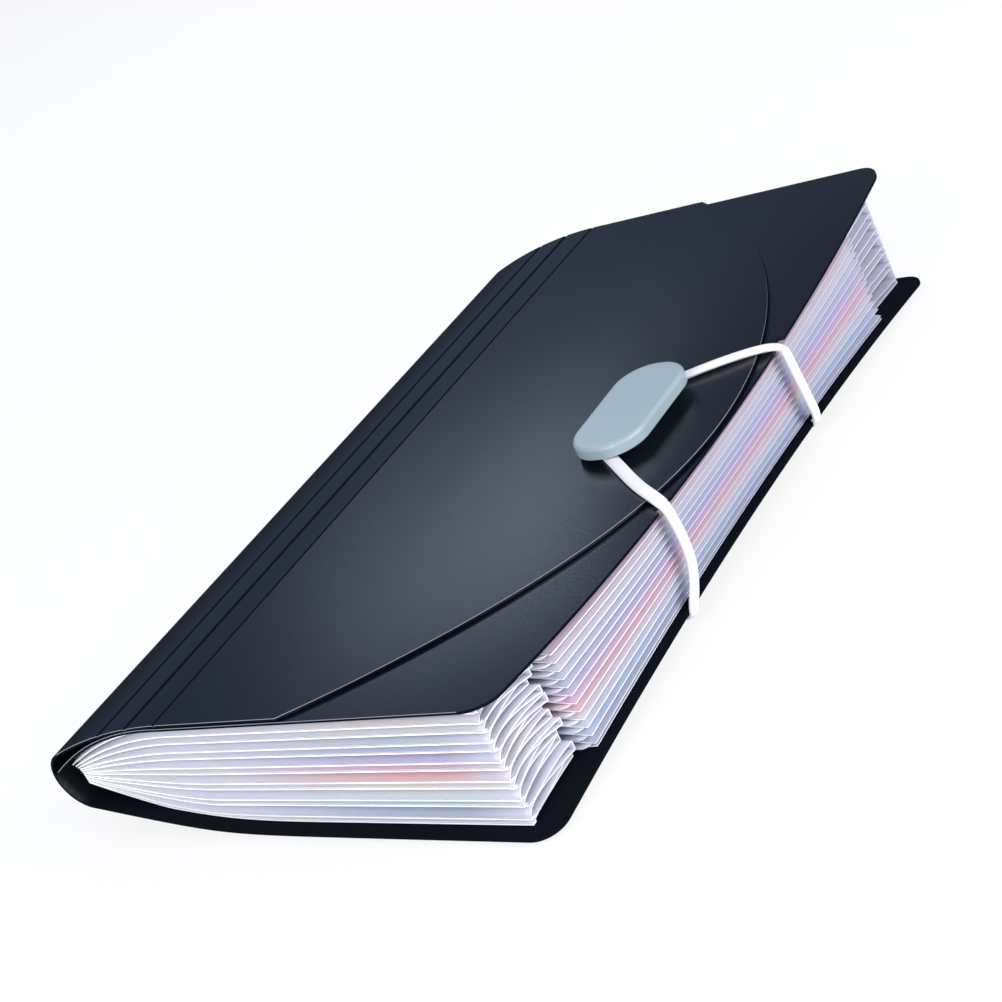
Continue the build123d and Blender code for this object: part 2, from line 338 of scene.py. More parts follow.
@dataclass(frozen=True)
class Card:
    """Tinted index card and how strongly its colour shows through the frosted film."""

    name: str
    tint: str
    show: float

    def frosted(self, film: str, part: float = 1.0) -> str:
        """Colour of the card behind film: a share of the way from the film's colour to its own.

        Args:
            film: colour of the film.
            part: how much of the card's own share shows.

        Returns:
            The paler colour.
        """
        pairs = [(int(film[i : i + 2], 16), int(self.tint[i : i + 2], 16)) for i in (1, 3, 5)]
        return "#" + "".join(f"{round(mix(low, high, self.show * part)):02X}" for low, high in pairs)


@dataclass(frozen=True)
class FrostedFilm:
    """Frosted polypropylene film: milky, lets light through, and takes a tint from the card behind."""

    name: str
    tint: str
    colour: str = "#E4E4EF"
    tint_start: float = -25.0
    tint_end: float = 30.0
    fade_start: float = 36.0
    fade_end: float = 48.0
    left: float = 1.0
    end_start: float = 60.0
    end_full: float = 78.0
    end_left: float = 0.15
    through: float = 0.4
    roughness: float = 0.45

    def material(self) -> Material:
        """Build the film's shader, whose tint grows from the spine and fades where the card ends.

        Returns:
            The material.
        """
        material, tree, output = new_material(self.name)
        place = add_node(tree, "ShaderNodeTexCoord").outputs["Object"]
        along = add_node(tree, "ShaderNodeSeparateXYZ", {"Vector": place}).outputs
        spans = (
            ("X", self.tint_start, self.tint_end, 0.0, 1.0),
            ("X", self.fade_start, self.fade_end, 1.0, self.left),
            ("Y", self.end_start, self.end_full, 1.0, self.end_left),
        )
        share = 1.0
        for axis, start, end, low, high in spans:
            part = add_node(
                tree,
                "ShaderNodeMapRange",
                {"Value": along[axis], 1: start * MM, 2: end * MM, 3: low, 4: high},
                interpolation_type="SMOOTHSTEP",
            ).outputs["Result"]
            product = add_node(tree, "ShaderNodeMath", {0: share, 1: part}, operation="MULTIPLY")
            share = product.outputs["Value"]
        colour = add_node(
            tree,
            "ShaderNodeMix",
            {0: share, 6: linear(self.colour), 7: linear(self.tint)},
            data_type="RGBA",
        ).outputs[2]
        body = add_node(
            tree,
            "ShaderNodeBsdfPrincipled",
            {"Base Color": colour, "Roughness": self.roughness, "IOR": POLYPROPYLENE_IOR},
        )
        glow = add_node(tree, "ShaderNodeBsdfTranslucent", {"Color": colour})
        film = add_node(
            tree,
            "ShaderNodeMixShader",
            {0: self.through, 1: body.outputs["BSDF"], 2: glow.outputs["BSDF"]},
        )
        tree.links.new(film.outputs["Shader"], output.inputs["Surface"])
        return material


@dataclass(frozen=True)
class FilmEdge:
    """Cut edge of the film, with a painted highlight that makes it white at the near end, and as dull as
    the film further off.
    """

    name: str
    colour: str
    near_highlight: str = "#FFFFFF"
    near: float = -66.0
    far: float = 0.0
    roughness: float = 0.35

    def material(self) -> Material:
        """Build the edge's shader, whose painted highlight dulls towards the far end.

        Returns:
            The material.
        """
        material, tree, output = new_material(self.name)
        place = add_node(tree, "ShaderNodeTexCoord").outputs["Object"]
        along = add_node(tree, "ShaderNodeSeparateXYZ", {"Vector": place}).outputs["Y"]
        share = add_node(
            tree,
            "ShaderNodeMapRange",
            {"Value": along, "From Min": self.near * MM, "From Max": self.far * MM},
            interpolation_type="SMOOTHSTEP",
        ).outputs["Result"]
        colour = add_node(
            tree,
            "ShaderNodeMix",
            {0: share, 6: linear(self.near_highlight), 7: linear(self.colour)},
            data_type="RGBA",
        ).outputs[2]
        shader = add_node(
            tree,
            "ShaderNodeBsdfPrincipled",
            {"Base Color": colour, "Roughness": self.roughness, "IOR": POLYPROPYLENE_IOR},
        )
        tree.links.new(shader.outputs["BSDF"], output.inputs["Surface"])
        return material


@dataclass(frozen=True)
class PlainFinish:
    """Moulded, woven or rolled material of one even colour, told apart by its gloss."""

    name: str
    colour: str
    roughness: float
    metallic: float = 0.0
    grain_mm: float = 0.0
    grain_depth: float = 0.0

    def material(self) -> Material:
        """Build the shader, with a fine bump where the surface has a texture.

        Returns:
            The material.
        """
        material, tree, output = new_material(self.name)
        shader = add_node(
            tree,
            "ShaderNodeBsdfPrincipled",
            {
                "Base Color": linear(self.colour),
                "Roughness": self.roughness,
                "Metallic": self.metallic,
            },
        )
        # A metal keeps the shader's own IOR
        if not self.metallic:
            shader.inputs["IOR"].default_value = POLYPROPYLENE_IOR
        if self.grain_mm:
            place = add_node(tree, "ShaderNodeTexCoord").outputs["Object"]
            grain = add_node(
                tree, "ShaderNodeTexNoise", {"Vector": place, "Scale": 1 / (self.grain_mm * MM)}
            )
            bump = add_node(
                tree,
                "ShaderNodeBump",
                {"Height": grain.outputs["Fac"], "Distance": self.grain_depth * MM},
            )
            tree.links.new(bump.outputs["Normal"], shader.inputs["Normal"])
        tree.links.new(shader.outputs["BSDF"], output.inputs["Surface"])
        return material


def grid_faces(rows: int, columns: int, first: int = 0) -> np.ndarray:
    """Quads of a grid of points numbered row by row.

    Args:
        rows: points along the first parameter.
        columns: points along the second parameter.
        first: number of the grid's first point.

    Returns:
        Four point numbers for each quad, whose front is first parameter cross second.
    """
    number = first + np.arange(rows * columns).reshape(rows, columns)
    corners = (number[:-1, :-1], number[1:, :-1], number[1:, 1:], number[:-1, 1:])
    return np.stack(corners, axis=-1).reshape(-1, 4)


def border(rows: int, columns: int) -> np.ndarray:
    """Point numbers round a grid: along its first column, last row, last column and first row."""
    number = np.arange(rows * columns).reshape(rows, columns)
    return np.concatenate([number[:, 0], number[-1, 1:], number[-2::-1, -1], number[0, -2::-1]])


def strip_faces(above: np.ndarray, below: np.ndarray) -> np.ndarray:
    """Quads between two rings of point numbers, facing outwards."""
    return np.stack([below[:-1], below[1:], above[1:], above[:-1]], axis=-1)


def add_mesh(name: str, points: np.ndarray, faces: np.ndarray, finishes: list[Material]) -> Piece:
    """Make a mesh object from points in millimetres.

    Args:
        name: plain name of the piece.
        points: places in the file's frame.
        faces: quads as point numbers.
        finishes: materials by slot.

    Returns:
        The object.
    """
    mesh = bpy.data.meshes.new(name)
    mesh.from_pydata((points.reshape(-1, 3) * MM).tolist(), [], faces.tolist())
    mesh.polygons.foreach_set("use_smooth", np.ones(len(mesh.polygons), bool))
    mesh.set_sharp_from_angle(angle=np.radians(SMOOTH_ANGLE))
    for finish in finishes:
        mesh.materials.append(finish)
    piece = bpy.data.objects.new(name, mesh)
    bpy.context.scene.collection.objects.link(piece)
    return piece


def add_sheet(
    name: str,
    upper: np.ndarray,
    lower: np.ndarray,
    finishes: list[Material],
    lit: float = 1.0,
    free: bool = True,
) -> Piece:
    """Make a sheet from the grids of its two faces, with the painted highlight of its rim in the last
    material.

    A rim that is lit in part is two strips round the border, of which the upper one takes the painted
    highlight at the near end, and along the free edge too if asked.

    Args:
        name: plain name of the piece.
        upper: grid of the upper face, first along X and then along Y.
        lower: grid of the lower face.
        finishes: materials, the faces' first and the rim's painted highlight last.
        lit: share of the sheet's thickness that the strip with the painted highlight takes, 1 for the
            whole rim.
        free: whether the painted highlight goes on along the free edge.

    Returns:
        The object.
    """
    rows, columns = upper.shape[:2]
    points = np.concatenate([upper.reshape(-1, 3), lower.reshape(-1, 3)])
    sides = [grid_faces(rows, columns), grid_faces(rows, columns, rows * columns)[:, ::-1]]
    ring = border(rows, columns)
    below = ring + rows * columns
    if lit < 1:
        middle = len(points) + np.arange(ring.size)
        points = np.concatenate([points, mix(points[ring], points[below], lit)])
        strips = [strip_faces(ring, middle), strip_faces(middle, below)]
        bright = rows - 1 + (columns - 1) * free
    else:
        strips = [strip_faces(ring, below)]
        bright = ring.size - 1
    piece = add_mesh(name, points, np.concatenate([*sides, *strips]), finishes)
    slots = np.zeros(len(piece.data.polygons), np.int32)
    first = 2 * len(sides[0])
    slots[first : first + bright] = len(finishes) - 1
    piece.data.polygons.foreach_set("material_index", slots)
    return piece


def set_blend(piece: Piece) -> None:
    """Bake a soft piece's place into its points, where it stays at rest.

    Args:
        piece: object at rest.
    """
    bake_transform(piece)


def spread(half: float, count: int, marks: tuple[float, ...] = ()) -> np.ndarray:
    """Places along the spine, closer together towards both ends, with extra ones at marks.

    Args:
        half: half of the length covered.
        count: number of even steps.
        marks: distances from the middle that get two close places on both sides.

    Returns:
        The places in order.
    """
    even = half * np.sin(np.linspace(-np.pi / 2, np.pi / 2, count))
    beside = [mark + step for mark in marks for step in (-MARK_STEP, MARK_STEP)]
    return np.unique(np.concatenate([even, beside, np.negative(beside)]))


def round_corners(edge: float, half: float, corner: float, y: np.ndarray) -> np.ndarray:
    """Free edge of a sheet in plan, straight but for two round corners.

    Args:
        edge: place of the straight stretch along X.
        half: half of the sheet's length.
        corner: corner radius.
        y: places along the spine.

    Returns:
        Places of the edge along X.
    """
    past = np.clip(np.abs(y) - (half - corner), 0, corner)
    return edge - corner + np.sqrt(corner**2 - past**2)


def plan_grid(start: float, end: np.ndarray, steps: int, y: np.ndarray) -> tuple[np.ndarray, np.ndarray]:
    """Grid in plan between a straight edge and one that depends on y.

    Args:
        start: first edge along X.
        end: second edge along X for each y.
        steps: points from edge to edge.
        y: places along the spine.

    Returns:
        X and Y of the grid, first along X and then along Y.
    """
    share = np.linspace(0, 1, steps)[:, None]
    x = mix(start, end[None, :], share)
    return x, np.broadcast_to(y[None, :], x.shape)


def stacked(x: np.ndarray, y: np.ndarray, z: np.ndarray) -> np.ndarray:
    """Points from the grids of their three coordinates."""
    return np.stack(np.broadcast_arrays(x, y, z), axis=-1)


def dress(node: str, finish: Material) -> None:
    """Give a CAD node its material."""
    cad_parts[node].data.materials.clear()
    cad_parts[node].data.materials.append(finish)


@dataclass
class Cover:
    """Black wrapped cover: rear panel, round nose, spine slope with scores, flap and front panel."""

    sizes: FileSizes
    score_depths: tuple[float, ...] = (0.4, 0.22, 0.16)
    score_width: float = 1.2
    score_spacing: float = 8.3
    spine_bulge: float = 1.3
    score_angle: float = 6.0
    score_least: float = 0.001
    slope_guess: float = 0.3
    slope_rounds: int = 8
    notch_width: float = 4.2
    notch_depth: float = 1.2
    crease_seam: float = 0.05
    # Share of the sheet's thickness that the rim strip with the painted highlight takes
    cut_line: float = 0.24
    rows: int = 60
    panel_rows: int = 80
    nose_steps: int = 40
    slope_steps: int = 241
    slope_columns: int = 30
    columns: int = 90
    arc_columns: int = 120

    def build(self) -> list[Piece]:
        """Build and dress the cover's sheets.

        Returns:
            The objects made.
        """
        plastic = CoverPlastic("polypropylene_sheet_sand_grained").material()
        # The inside is dull, and its reflection is all but taken away as painted shade, so it reads as
        # plain black below the white film
        inside = CoverPlastic("polypropylene_sheet_matt_inside", roughness=0.7, specular=0.04).material()
        # A cut edge is given a pale grey, a painted highlight that draws a thin pale line along the rim
        cut = PlainFinish("polypropylene_sheet_cut_edge", "#858D95", 0.3).material()
        finishes = [plastic, cut]
        return [
            self.rear([inside]),
            self.nose([plastic]),
            self.spine(finishes),
            self.flap(finishes),
            self.panel(finishes),
        ]

    def rear(self, finishes: list[Material]) -> Piece:
        """Rear panel with its slope, flat strip and arch.

        Args:
            finishes: material of the whole sheet.

        Returns:
            The object.
        """
        s = self.sizes
        y = spread(s.half_length, self.columns)
        turn = np.arctan(s.rear_slope)
        start = s.nose_x + s.nose_radius - s.nose_radius * np.sin(turn)
        x, y = plan_grid(start, round_corners(s.rear_edge, s.half_length, s.corner, y), self.rows, y)
        inner = s.rear_inner(x, y)
        faces = stacked(x, y, inner), stacked(x, y, inner - s.sheet)
        piece = add_sheet("rear_cover_sheet", *faces, finishes, self.cut_line)
        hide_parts("rear_cover")
        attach(piece, "rear")
        return piece

    def nose(self, finishes: list[Material]) -> Piece:
        """Round nose, an arc carried along the spine.

        Args:
            finishes: material of the whole sheet.

        Returns:
            The object.
        """
        s = self.sizes
        first, last = np.pi * 1.5 - np.arctan(s.rear_slope), np.pi / 2 + self.spine_start()[2]
        turn = np.linspace(first, last, self.nose_steps)
        y = np.linspace(-s.half_length, s.half_length, self.nose_steps)
        centre = s.nose_x + s.nose_radius
        faces = [
            stacked(
                centre + radius * np.cos(turn)[:, None],
                y[None, :],
                s.nose_height + radius * np.sin(turn)[:, None],
            )
            for radius in (s.nose_radius, s.nose_radius - s.sheet)
        ]
        piece = add_sheet("spine_nose_sheet", *faces, finishes)
        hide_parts("spine_nose")
        set_blend(piece)
        return piece

    def spine_start(self) -> tuple[float, float, float]:
        """Where the spine slope leaves the nose, and its angle there.

        The slope is a shallow parabola on the line from the nose to the crease, so its first angle
        is that line's plus four times its bulge over its run. A few rounds settle the two.

        Returns:
            Place along X, height and angle.
        """
        s = self.sizes
        angle = self.slope_guess
        for _ in range(self.slope_rounds):
            x = s.nose_x + s.nose_radius * (1 - np.sin(angle))
            z = s.nose_height + s.nose_radius * np.cos(angle)
            angle = float(np.arctan((s.crease_height - z + 4 * self.spine_bulge) / (s.crease_x - x)))
        return x, z, angle

    def spine(self, finishes: list[Material]) -> Piece:
        """Spine slope with its score lines, one profile carried along the spine.

        Args:
            finishes: materials of faces and rim.

        Returns:
            The object.
        """
        s = self.sizes
        start_x, start_z, _ = self.spine_start()
        x = np.linspace(start_x, s.crease_x, self.slope_steps)
        share = (x - start_x) / (s.crease_x - start_x)
        outer = mix(start_z, s.crease_height, share) + 4 * self.spine_bulge * share * (1 - share)
        inner = outer - s.sheet
        for turn, depth in enumerate(self.score_depths):
            away = np.abs(s.crease_x - self.score_spacing * turn - x)
            outer = outer - depth * np.clip(1 - away / (self.score_width / 2), 0, 1)
        y = np.linspace(-s.half_length, s.half_length, self.slope_columns)[None, :]
        faces = [stacked(x[:, None], y, z[:, None]) for z in (outer, inner)]
        materials = [finishes[0], self.scored(), finishes[1]]
        piece = add_sheet("spine_slope_sheet", *faces, materials, self.cut_line)
        slots = np.zeros(len(piece.data.polygons), np.int32)
        piece.data.polygons.foreach_get("material_index", slots)
        depth = inner + s.sheet - outer
        # Groove faces take the darker score finish, a painted shade
        pressed = np.repeat(np.maximum(depth[:-1], depth[1:]) > self.score_least, y.size - 1)
        slots[: pressed.size] = pressed
        piece.data.polygons.foreach_set("material_index", slots)
        piece.data.set_sharp_from_angle(angle=np.radians(self.score_angle))
        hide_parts("spine_top", "hinge_strip")
        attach(piece, "spine")
        return piece

    def scored(self) -> Material:
        """Sheet pressed thin along a score line, duller than the rest, and darker as painted shade in
        the groove.
        """
        return CoverPlastic("polypropylene_sheet_scored", "#05070A", 0.8, 0.1).material()

    def flap(self, finishes: list[Material]) -> Piece:
        """Flap whose free edge is one wide arc.

        Args:
            finishes: materials of faces and rim.

        Returns:
            The object.
        """
        s = self.sizes
        y = spread(s.half_length, self.arc_columns)
        radius = (s.flap_arc_rise**2 + s.half_length**2) / (2 * s.flap_arc_rise)
        edge = s.flap_apex - radius + np.sqrt(radius**2 - y**2)
        x, y = plan_grid(s.crease_x + self.crease_seam, edge, self.rows, y)
        lower = s.stack(1.0, x, y) + s.sheet + s.panel_gap
        faces = stacked(x, y, lower + s.sheet), stacked(x, y, lower)
        piece = add_sheet("flap_sheet", *faces, finishes, self.cut_line)
        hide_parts("cover_flap")
        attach(piece, "flap")
        return piece

    def panel(self, finishes: list[Material]) -> Piece:
        """Stiff front panel with a notch for each strand of the elastic.

        Args:
            finishes: materials of faces and rim.

        Returns:
            The object.
        """
        s = self.sizes
        notch = self.notch_width / 2
        y = spread(s.half_length, self.arc_columns, (s.strand_y - notch, s.strand_y + notch))
        edge = round_corners(s.panel_edge, s.half_length, s.corner, y)
        edge = edge - self.notch_depth * (np.abs(np.abs(y) - s.strand_y) < notch)
        x, y = plan_grid(s.spine_point(1.0)[0], edge, self.panel_rows, y)
        lower = s.stack(1.0, x, y)
        faces = stacked(x, y, lower + s.sheet), stacked(x, y, lower)
        piece = add_sheet("front_panel_sheet", *faces, finishes, self.cut_line, free=False)
        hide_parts("front_panel")
        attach(piece, "front")
        return piece


@dataclass
class Accordion:
    """Frosted film leaves with tabs, pleats at both ends of each pocket, and tinted cards."""

    sizes: FileSizes
    cards: tuple[Card, ...]
    film: str = "#E4E4EF"
    tab_film: str = "#E8E6F3"
    tab_show: float = 0.6
    fold_left: float = 0.1
    far_edge: str = "#C9C6DA"
    leaf_sheet: float = 0.3
    pleat_sheet: float = 0.2
    pleat_inset: float = 0.2
    pleat_start: float = 1.0
    pleat_depth: float = 15.5
    mouth_depth: dict[Side, float] = field(default_factory=lambda: {Side.NEAR: 15.5, Side.FAR: 0.4})
    mouth_start: float = 20.0
    mouth_curl: float = 1.3
    curl_pockets: int = 3
    mouth_wave: float = 1.4
    wave_turn: float = 1.9
    arm: float = 0.44
    bulge: float = 0.46
    pairing: float = 0.55
    pairing_start: float = 64.0
    pairing_run: float = 20.0
    tab_corner: float = 0.4
    lip: float = 4.5
    lip_drop: float = 0.75
    lip_thinning: float = 0.45
    seam_width: float = 1.2
    notch_depth: float = 5.0
    rows: int = 70
    columns: int = 90
    section_points: int = 49

    def body(self, number: int) -> str:
        """Name of the CAD body of a leaf: the rear cover's, a divider's or the front panel's."""
        last = self.sizes.pockets
        return "rear" if number == 0 else "front" if number == last else f"leaf_{number:02d}"

    def build(self) -> list[Piece]:
        """Build and dress the leaves, pleats and cards.

        Returns:
            The objects made.
        """
        # The film's cut edges carry a painted highlight, white at the near end
        edge = FilmEdge("polypropylene_film_cut_edge", self.far_edge).material()
        pieces = []
        for number, card in enumerate(self.cards):
            over, beside = card.frosted(self.tab_film, self.tab_show), card.frosted(self.film)
            film = FrostedFilm(f"polypropylene_film_frosted_over_{card.name}", over, self.film)
            fold = FrostedFilm(
                f"polypropylene_film_folded_beside_{card.name}", beside, self.film, left=self.fold_left
            )
            pieces.append(self.leaf(number, [film.material(), edge]))
            pieces += self.pleats(number, [fold.material(), edge])
            # Card is matt, so that only its colour shows in the gaps between the tabs
            matt = PlainFinish(f"card_tinted_{card.name}", over, 0.7)
            dress(f"index_card_{number + 1:02d}", matt.material())
        return pieces

    def level(self, number: int, x: np.ndarray, y: np.ndarray) -> np.ndarray:
        """Underside of a leaf, whose outer edge may lie close to the leaf below.

        Odd leaves sink towards the even leaf below them at both ends, most at the bottom, so that
        their folds lie in pairs.

        Args:
            number: 0 for the leaf on the rear cover, the last for the front panel.
            x: places from spine to opening.
            y: places along the spine.

        Returns:
            Heights above the surface that the file lies on.
        """
        s = self.sizes
        share = number / s.pockets
        height = s.stack(share, x, y)
        below = s.stack(max(number - 1, 0) / s.pockets, x, y) + self.leaf_sheet
        near_end = ease((np.abs(y) - self.pairing_start) / self.pairing_run)
        sink = self.pairing * (1 - share) * near_end * (number % 2)
        return height - sink * np.clip(height - below, 0, None)

    def leaf(self, number: int, finishes: list[Material]) -> Piece:
        """One leaf of film with its tab, whose lip hangs down over the pocket below.

        Args:
            number: 0 for the leaf on the rear cover.
            finishes: materials of faces and rim.

        Returns:
            The object.
        """
        s = self.sizes
        seam = s.leaf_half - self.seam_width
        y = spread(s.leaf_half, self.columns, (s.tab_half, seam))
        on_tab = np.clip(y, -s.tab_half, s.tab_half)
        tab = round_corners(s.leaf_edge, s.tab_half, self.tab_corner, on_tab)
        notched = (y < 0) & (y > -seam)
        beside = np.where(notched, s.shoulder - self.notch_depth, s.shoulder)
        edge = np.where(np.abs(y) < s.tab_half, tab, beside)
        x, y = plan_grid(s.spine_point(number / s.pockets)[0], edge, self.rows, y)
        lower = self.level(number, x, y)
        room = lower - self.level(max(number - 1, 0), x, y) - self.leaf_sheet
        hang = ease((x - s.leaf_edge + self.lip) / self.lip)
        lower = lower - self.lip_drop * np.clip(room, 0, None) * hang
        upper = lower + self.leaf_sheet * (1 - self.lip_thinning * hang)
        name = "rear_leaf" if number == 0 else f"divider_{number:02d}"
        piece = add_sheet(f"{name}_film", stacked(x, y, upper), stacked(x, y, lower), finishes)
        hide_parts(name)
        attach(piece, self.body(number))
        return piece

    def section(self) -> tuple[np.ndarray, np.ndarray]:
        """Cross-section of a pleat: how deep it goes, and how far it has risen to the next leaf.

        The lower arm goes in and bulges up as the sine of a root of its depth, a short wall rises,
        and the upper arm comes out again in the same way, upside down.

        Returns:
            Shares of the full depth and of the rise, both from 0 to 1 along the section.
        """
        across = np.linspace(0, 1, self.section_points)
        reach = np.clip(np.minimum(across, 1 - across) / self.arm, 0, 1)
        deep = np.sin(reach * np.pi / 2)
        swell = self.bulge * np.sin(np.pi * deep**0.5)
        wall = ease((across - self.arm) / (1 - 2 * self.arm))
        return deep, mix(swell, 1 - swell, wall)

    def pleats(self, number: int, finishes: list[Material]) -> list[Piece]:
        """The pleats of one pocket at both ends, folded inwards between two leaves.

        At the near end the pleat's mouth bows in as a sine of its depth, but less in the lowest pockets,
        and its fold lies further out or in from pocket to pocket.

        Args:
            number: pocket, 0 for the one on the rear cover.
            finishes: materials of faces and cut edges.

        Returns:
            The objects, one for each end.
        """
        s = self.sizes
        start = s.spine_point(number / s.pockets)[0] + self.pleat_start
        deep, rise = (part[None, :] for part in self.section())
        curl = self.mouth_curl * min(number / self.curl_pockets, 1.0)
        reach = self.mouth_wave * np.sin(self.wave_turn * number)
        wave = reach * deep**2 - curl * np.sin(np.pi * deep)
        pieces = []
        for side in Side:
            end = s.shoulder + wave * (side is Side.NEAR)
            x = mix(start, end, np.linspace(0, 1, self.rows)[:, None])
            mouth = ease((x - self.mouth_start) / (s.shoulder - self.mouth_start))
            depth = mix(self.pleat_depth, self.mouth_depth[side], mouth)
            y = side.value * (s.leaf_half - self.pleat_inset - depth * deep)
            low = self.level(number, x, y) + self.leaf_sheet
            z = mix(low, np.maximum(self.level(number + 1, x, y), low), rise)
            faces = grid_faces(self.rows, deep.size)
            if side is Side.FAR:
                faces = faces[:, ::-1]
            name = f"pleat_{number + 1:02d}_{side.name.lower()}"
            piece = add_mesh(name, stacked(x, y, z), faces, finishes)
            film = piece.modifiers.new("film", "SOLIDIFY")
            film.thickness = self.pleat_sheet * MM
            film.offset = 0
            # Only the near edges take the edge material, whose painted highlight draws them as white
            # lines
            film.material_offset_rim = 1 if side is Side.NEAR else 0
            set_blend(piece)
            pieces.append(piece)
        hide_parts(f"gusset_{number + 1:02d}")
        return pieces


@dataclass
class Closure:
    """Button on the flap with the elastic loop round its post."""

    sizes: FileSizes
    band_width: float = 2.6
    band_sheet: float = 1.4
    band_points: int = 21
    route_steps: int = 16
    turn_start: float = 18.0
    turn_run: float = 6.0
    foot_height: float = 2.5
    foot_run: float = 2.0
    join_height: float = 19.0
    join_lap: float = 0.3
    fold_run: float = 5.4
    foot_lean: dict[Side, float] = field(default_factory=lambda: {Side.NEAR: -6.0, Side.FAR: 0.5})
    foot_lift: dict[Side, float] = field(default_factory=lambda: {Side.NEAR: 0.0, Side.FAR: 1.0})
    head_lean: dict[Side, float] = field(default_factory=lambda: {Side.NEAR: 0.5, Side.FAR: -2.5})

    def build(self) -> list[Piece]:
        """Build and dress the button, the elastic and its rivets.

        Returns:
            The objects made.
        """
        # Satin moulding gives the button broad soft highlights on an even grey-blue
        moulded = PlainFinish("button_moulded_plastic_satin", "#96A6AE", 0.32).material()
        for name in ("button_cap", "button_post"):
            dress(name, moulded)
        # Rolled steel is told by its clear grey reflections
        steel = PlainFinish("rivet_steel_rolled", "#B8BCC0", 0.3, metallic=1.0)
        dress("elastic_rivets", steel.material())
        # Yarn scatters light, so the elastic is white without a highlight. Its threads are about 0.2 mm,
        # finer than a pixel, so they are drawn coarser
        yarn = PlainFinish(
            "elastic_covered_in_spun_yarn", "#E3E0E9", 0.75, grain_mm=0.4, grain_depth=0.06
        )
        woven = yarn.material()
        return [*self.strands(woven), self.loop(woven)]

    def route(self, name: str, points: list[tuple[float, float, float]]) -> np.ndarray:
        """Smooth spline led by a route's points, read back as points along it.

        Args:
            name: name for the spline.
            points: route in millimetres.

        Returns:
            Points along the spline in millimetres.
        """
        curve = bpy.data.curves.new(name, "CURVE")
        curve.dimensions = "3D"
        spline = curve.splines.new("NURBS")
        spline.points.add(len(points) - 1)
        places = np.array([(*point, 1 / MM) for point in points]) * MM
        spline.points.foreach_set("co", places.ravel())
        spline.order_u = 3
        spline.use_endpoint_u = True
        spline.resolution_u = self.route_steps
        holder = bpy.data.objects.new(name, curve)
        line = bpy.data.meshes.new_from_object(holder)
        found = np.empty(len(line.vertices) * 3)
        line.vertices.foreach_get("co", found)
        bpy.data.objects.remove(holder)
        return found.reshape(-1, 3) / MM

    def band(self, name: str, path: np.ndarray, finish: Material) -> Piece:
        """Flat band carried along a path, its section an ellipse that lies on the file.

        Its flat side faces the opening on the strands and turns up as it comes over the panel's edge.

        Args:
            name: plain name of the piece.
            path: points along the band's middle.
            finish: material.

        Returns:
            The object, open at its two ends.
        """
        along = np.gradient(path, axis=0)
        along /= np.linalg.norm(along, axis=1, keepdims=True)
        lift = ease((path[:, 2:3] - self.turn_start) / self.turn_run)
        outward = mix(np.array([[1.0, 0, 0]]), np.array([[0, 0, 1.0]]), lift)
        side = np.cross(along, outward)
        side /= np.linalg.norm(side, axis=1, keepdims=True)
        normal = np.cross(side, along)
        turn = np.linspace(0, 2 * np.pi, self.band_points)[None, :, None]
        across = np.cos(turn) * self.band_width / 2 * side[:, None]
        out = np.sin(turn) * self.band_sheet / 2 * normal[:, None]
        points = path[:, None] + across + out
        piece = add_mesh(name, points, grid_faces(*points.shape[:2])[:, ::-1], [finish])
        return piece

    def strands(self, finish: Material) -> list[Piece]:
        """Strands from the rivets up the opening, which bend where they leave the rear cover.

        Args:
            finish: material.

        Returns:
            The objects.
        """
        pieces = []
        for side in Side:
            y = side.value * self.sizes.strand_y
            foot, lift = y + self.foot_lean[side], self.foot_lift[side]
            path = self.route(
                "strand_route",
                [
                    (49.6, foot, 2.2),
                    (55.8, foot, 2.3 + lift),
                    (56.5, foot, 4.2 + lift),
                    (56.6, mix(y, foot, 0.4), 8.0),
                    (56.4, y, 13.0),
                    (56.0, y, self.join_height + self.join_lap),
                ],
            )
            piece = self.band(f"elastic_strand_{side.name.lower()}", path, finish)
            set_blend(piece)
            pieces.append(piece)
        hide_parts("elastic_strands")
        return pieces

    def loop(self, finish: Material) -> Piece:
        """Loop over the flap and round the button's post, which folds back at the panel's edge.

        Args:
            finish: material.

        Returns:
            The object.
        """
        halves = []
        for side in Side:
            y, lean = self.sizes.strand_y, self.head_lean[side]
            half = [
                (56.0, y, self.join_height),
                (55.9, y, 21.4),
                (54.6, y - 0.6 + 0.9 * lean, 23.6),
                (48.5, y - 4.5 + lean, 24.6),
                (41.0, y - 11.0 + 0.5 * lean, 25.1),
                (32.0, y - 19.0, 25.2),
            ]
            halves.append([(px, side.value * py, pz) for px, py, pz in half])
        path = self.route("loop_route", halves[0] + halves[1][::-1])
        piece = self.band("elastic_loop_band", path, finish)
        set_blend(piece)
        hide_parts("elastic_loop")
        return piece


